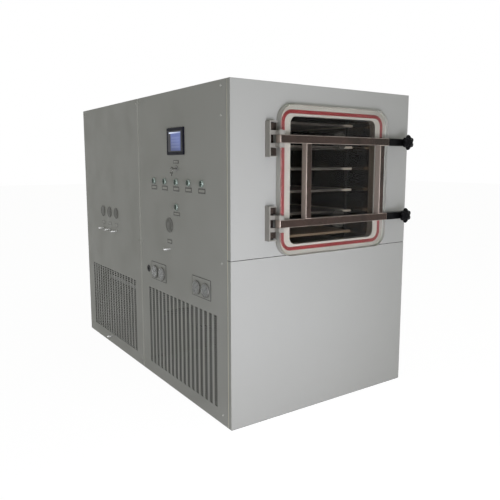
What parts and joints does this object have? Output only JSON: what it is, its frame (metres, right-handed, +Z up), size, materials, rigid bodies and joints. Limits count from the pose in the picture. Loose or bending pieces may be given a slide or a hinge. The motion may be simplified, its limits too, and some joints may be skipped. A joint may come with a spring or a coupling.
{
  "type": "freeze dryer",
  "caption": "Floor-standing pilot freeze dryer: two joined steel cabinets, a shelf chamber behind a clamped clear door, side control panel, gauges and vents.",
  "frame": {"origin": "middle of the cabinet's footprint on the floor", "axes": "+Z up, the door faces -Y, the control side faces -X"},
  "size_m": [1.2236, 2.1675, 1.65],
  "materials": {
    "cabinet_paint": "satin powder coat",
    "frame_paint": "satin paint",
    "stainless": "brushed",
    "polished_steel": "polished",
    "red_rubber": "matt silicone",
    "black_rubber": "matt",
    "clear_plate": "clear polished",
    "clear_glass": "clear",
    "black_plastic": "matt moulded",
    "white_plastic": "matt",
    "grey_plastic": "matt",
    "green_plastic": "glossy",
    "screen": "glossy",
    "machine_paint": "satin paint",
    "compressor_paint": "satin paint",
    "aluminium_fins": "plain"
  },
  "bodies": {
    "cabinet": {"front_frame": "frame_paint", "rear_frame": "frame_paint", "left_front_panel": "cabinet_paint", "left_rear_panel": "cabinet_paint", "right_front_panel": "cabinet_paint", "right_rear_panel": "cabinet_paint", "front_upper_panel": "cabinet_paint", "front_lower_panel": "cabinet_paint", "front_top_panel": "cabinet_paint", "rear_top_panel": "cabinet_paint", "back_panel": "cabinet_paint", "panel_screws": "polished_steel", "chamber_shell": "stainless", "chamber_flange": "stainless", "door_gasket": "red_rubber", "shelves": "stainless", "shelf_posts": "stainless", "oil_headers": "stainless", "hinge_brackets": "stainless", "hinge_pins": "stainless", "bracket_bolts": "stainless", "touch_panel_case": "black_plastic", "touch_screen": "screen", "button_collars": "polished_steel", "key_lock": "polished_steel", "label_plates": "white_plastic", "port_caps": "grey_plastic", "pipe_stubs": "polished_steel", "gauge_plates": "cabinet_paint", "gauge_cases": "stainless", "gauge_glasses": "clear_glass", "cable_grommet": "black_rubber", "vapour_duct": "stainless", "cold_trap_shell": "stainless", "trap_coil": "stainless", "compressors": "compressor_paint", "condenser": "aluminium_fins", "fan_motor": "machine_paint", "vacuum_pump": "machine_paint", "oil_unit": "stainless", "electrical_box": "frame_paint"},
    "door": {"door_plate": "clear_plate", "door_frame": "stainless", "bar_ends": "black_plastic", "plate_clamps": "stainless"},
    "upper_knob": {"upper_knob": "black_plastic"},
    "lower_knob": {"lower_knob": "black_plastic"},
    "button_1": {"button_1": "green_plastic"},
    "button_2": {"button_2": "green_plastic"},
    "button_3": {"button_3": "green_plastic"},
    "button_4": {"button_4": "green_plastic"},
    "button_5": {"button_5": "green_plastic"},
    "button_6": {"button_6": "green_plastic"},
    "key": {"key": "polished_steel"},
    "key_ring": {"key_ring": "polished_steel"},
    "needle_1": {"needle_1": "black_plastic"},
    "needle_2": {"needle_2": "black_plastic"},
    "needle_3": {"needle_3": "black_plastic"},
    "needle_4": {"needle_4": "black_plastic"},
    "fan": {"fan": "black_plastic"}
  },
  "joints": [
    {"name": "door_swing", "type": "hinge", "parent": "cabinet", "child": "door", "pos_m": [-0.35, -1.0776, 1.1885], "axis": [0, 0, -1], "range_deg": [0, 105]},
    {"name": "upper_knob_turn", "type": "hinge", "parent": "door", "child": "upper_knob", "pos_m": [0.486, -1.103, 1.3865], "axis": [0, -1, 0], "range_deg": [0, 2160]},
    {"name": "lower_knob_turn", "type": "hinge", "parent": "door", "child": "lower_knob", "pos_m": [0.486, -1.103, 0.9905], "axis": [0, -1, 0], "range_deg": [0, 2160]},
    {"name": "button_1_press", "type": "slide", "parent": "cabinet", "child": "button_1", "axis": [1, 0, 0], "range_m": [0, 0.003], "stiffness_N_per_m": 400, "springref_m": -0.003},
    {"name": "button_2_press", "type": "slide", "parent": "cabinet", "child": "button_2", "axis": [1, 0, 0], "range_m": [0, 0.003], "stiffness_N_per_m": 400, "springref_m": -0.003},
    {"name": "button_3_press", "type": "slide", "parent": "cabinet", "child": "button_3", "axis": [1, 0, 0], "range_m": [0, 0.003], "stiffness_N_per_m": 400, "springref_m": -0.003},
    {"name": "button_4_press", "type": "slide", "parent": "cabinet", "child": "button_4", "axis": [1, 0, 0], "range_m": [0, 0.003], "stiffness_N_per_m": 400, "springref_m": -0.003},
    {"name": "button_5_press", "type": "slide", "parent": "cabinet", "child": "button_5", "axis": [1, 0, 0], "range_m": [0, 0.003], "stiffness_N_per_m": 400, "springref_m": -0.003},
    {"name": "button_6_press", "type": "slide", "parent": "cabinet", "child": "button_6", "axis": [1, 0, 0], "range_m": [0, 0.003], "stiffness_N_per_m": 400, "springref_m": -0.003},
    {"name": "key_turn", "type": "hinge", "parent": "cabinet", "child": "key", "pos_m": [-0.594, -0.49, 1.246], "axis": [-1, 0, 0], "range_deg": [0, 90]},
    {"name": "key_ring_swing", "type": "hinge", "parent": "key", "child": "key_ring", "pos_m": [-0.621, -0.49, 1.2414], "axis": [0, 1, 0], "range_deg": [-12, 60]},
    {"name": "needle_1_turn", "type": "hinge", "parent": "cabinet", "child": "needle_1", "pos_m": [-0.596, -0.195, 0.645], "axis": [-1, 0, 0], "range_deg": [0, 270]},
    {"name": "needle_2_turn", "type": "hinge", "parent": "cabinet", "child": "needle_2", "pos_m": [-0.596, -0.287, 0.645], "axis": [-1, 0, 0], "range_deg": [0, 270]},
    {"name": "needle_3_turn", "type": "hinge", "parent": "cabinet", "child": "needle_3", "pos_m": [-0.596, -0.698, 0.645], "axis": [-1, 0, 0], "range_deg": [0, 270]},
    {"name": "needle_4_turn", "type": "hinge", "parent": "cabinet", "child": "needle_4", "pos_m": [-0.596, -0.79, 0.645], "axis": [-1, 0, 0], "range_deg": [0, 270]},
    {"name": "fan_spin", "type": "hinge", "parent": "cabinet", "child": "fan", "pos_m": [-0.395, 0.461, 0.2383], "axis": [1, 0, 0], "continuous": true}
  ]
}
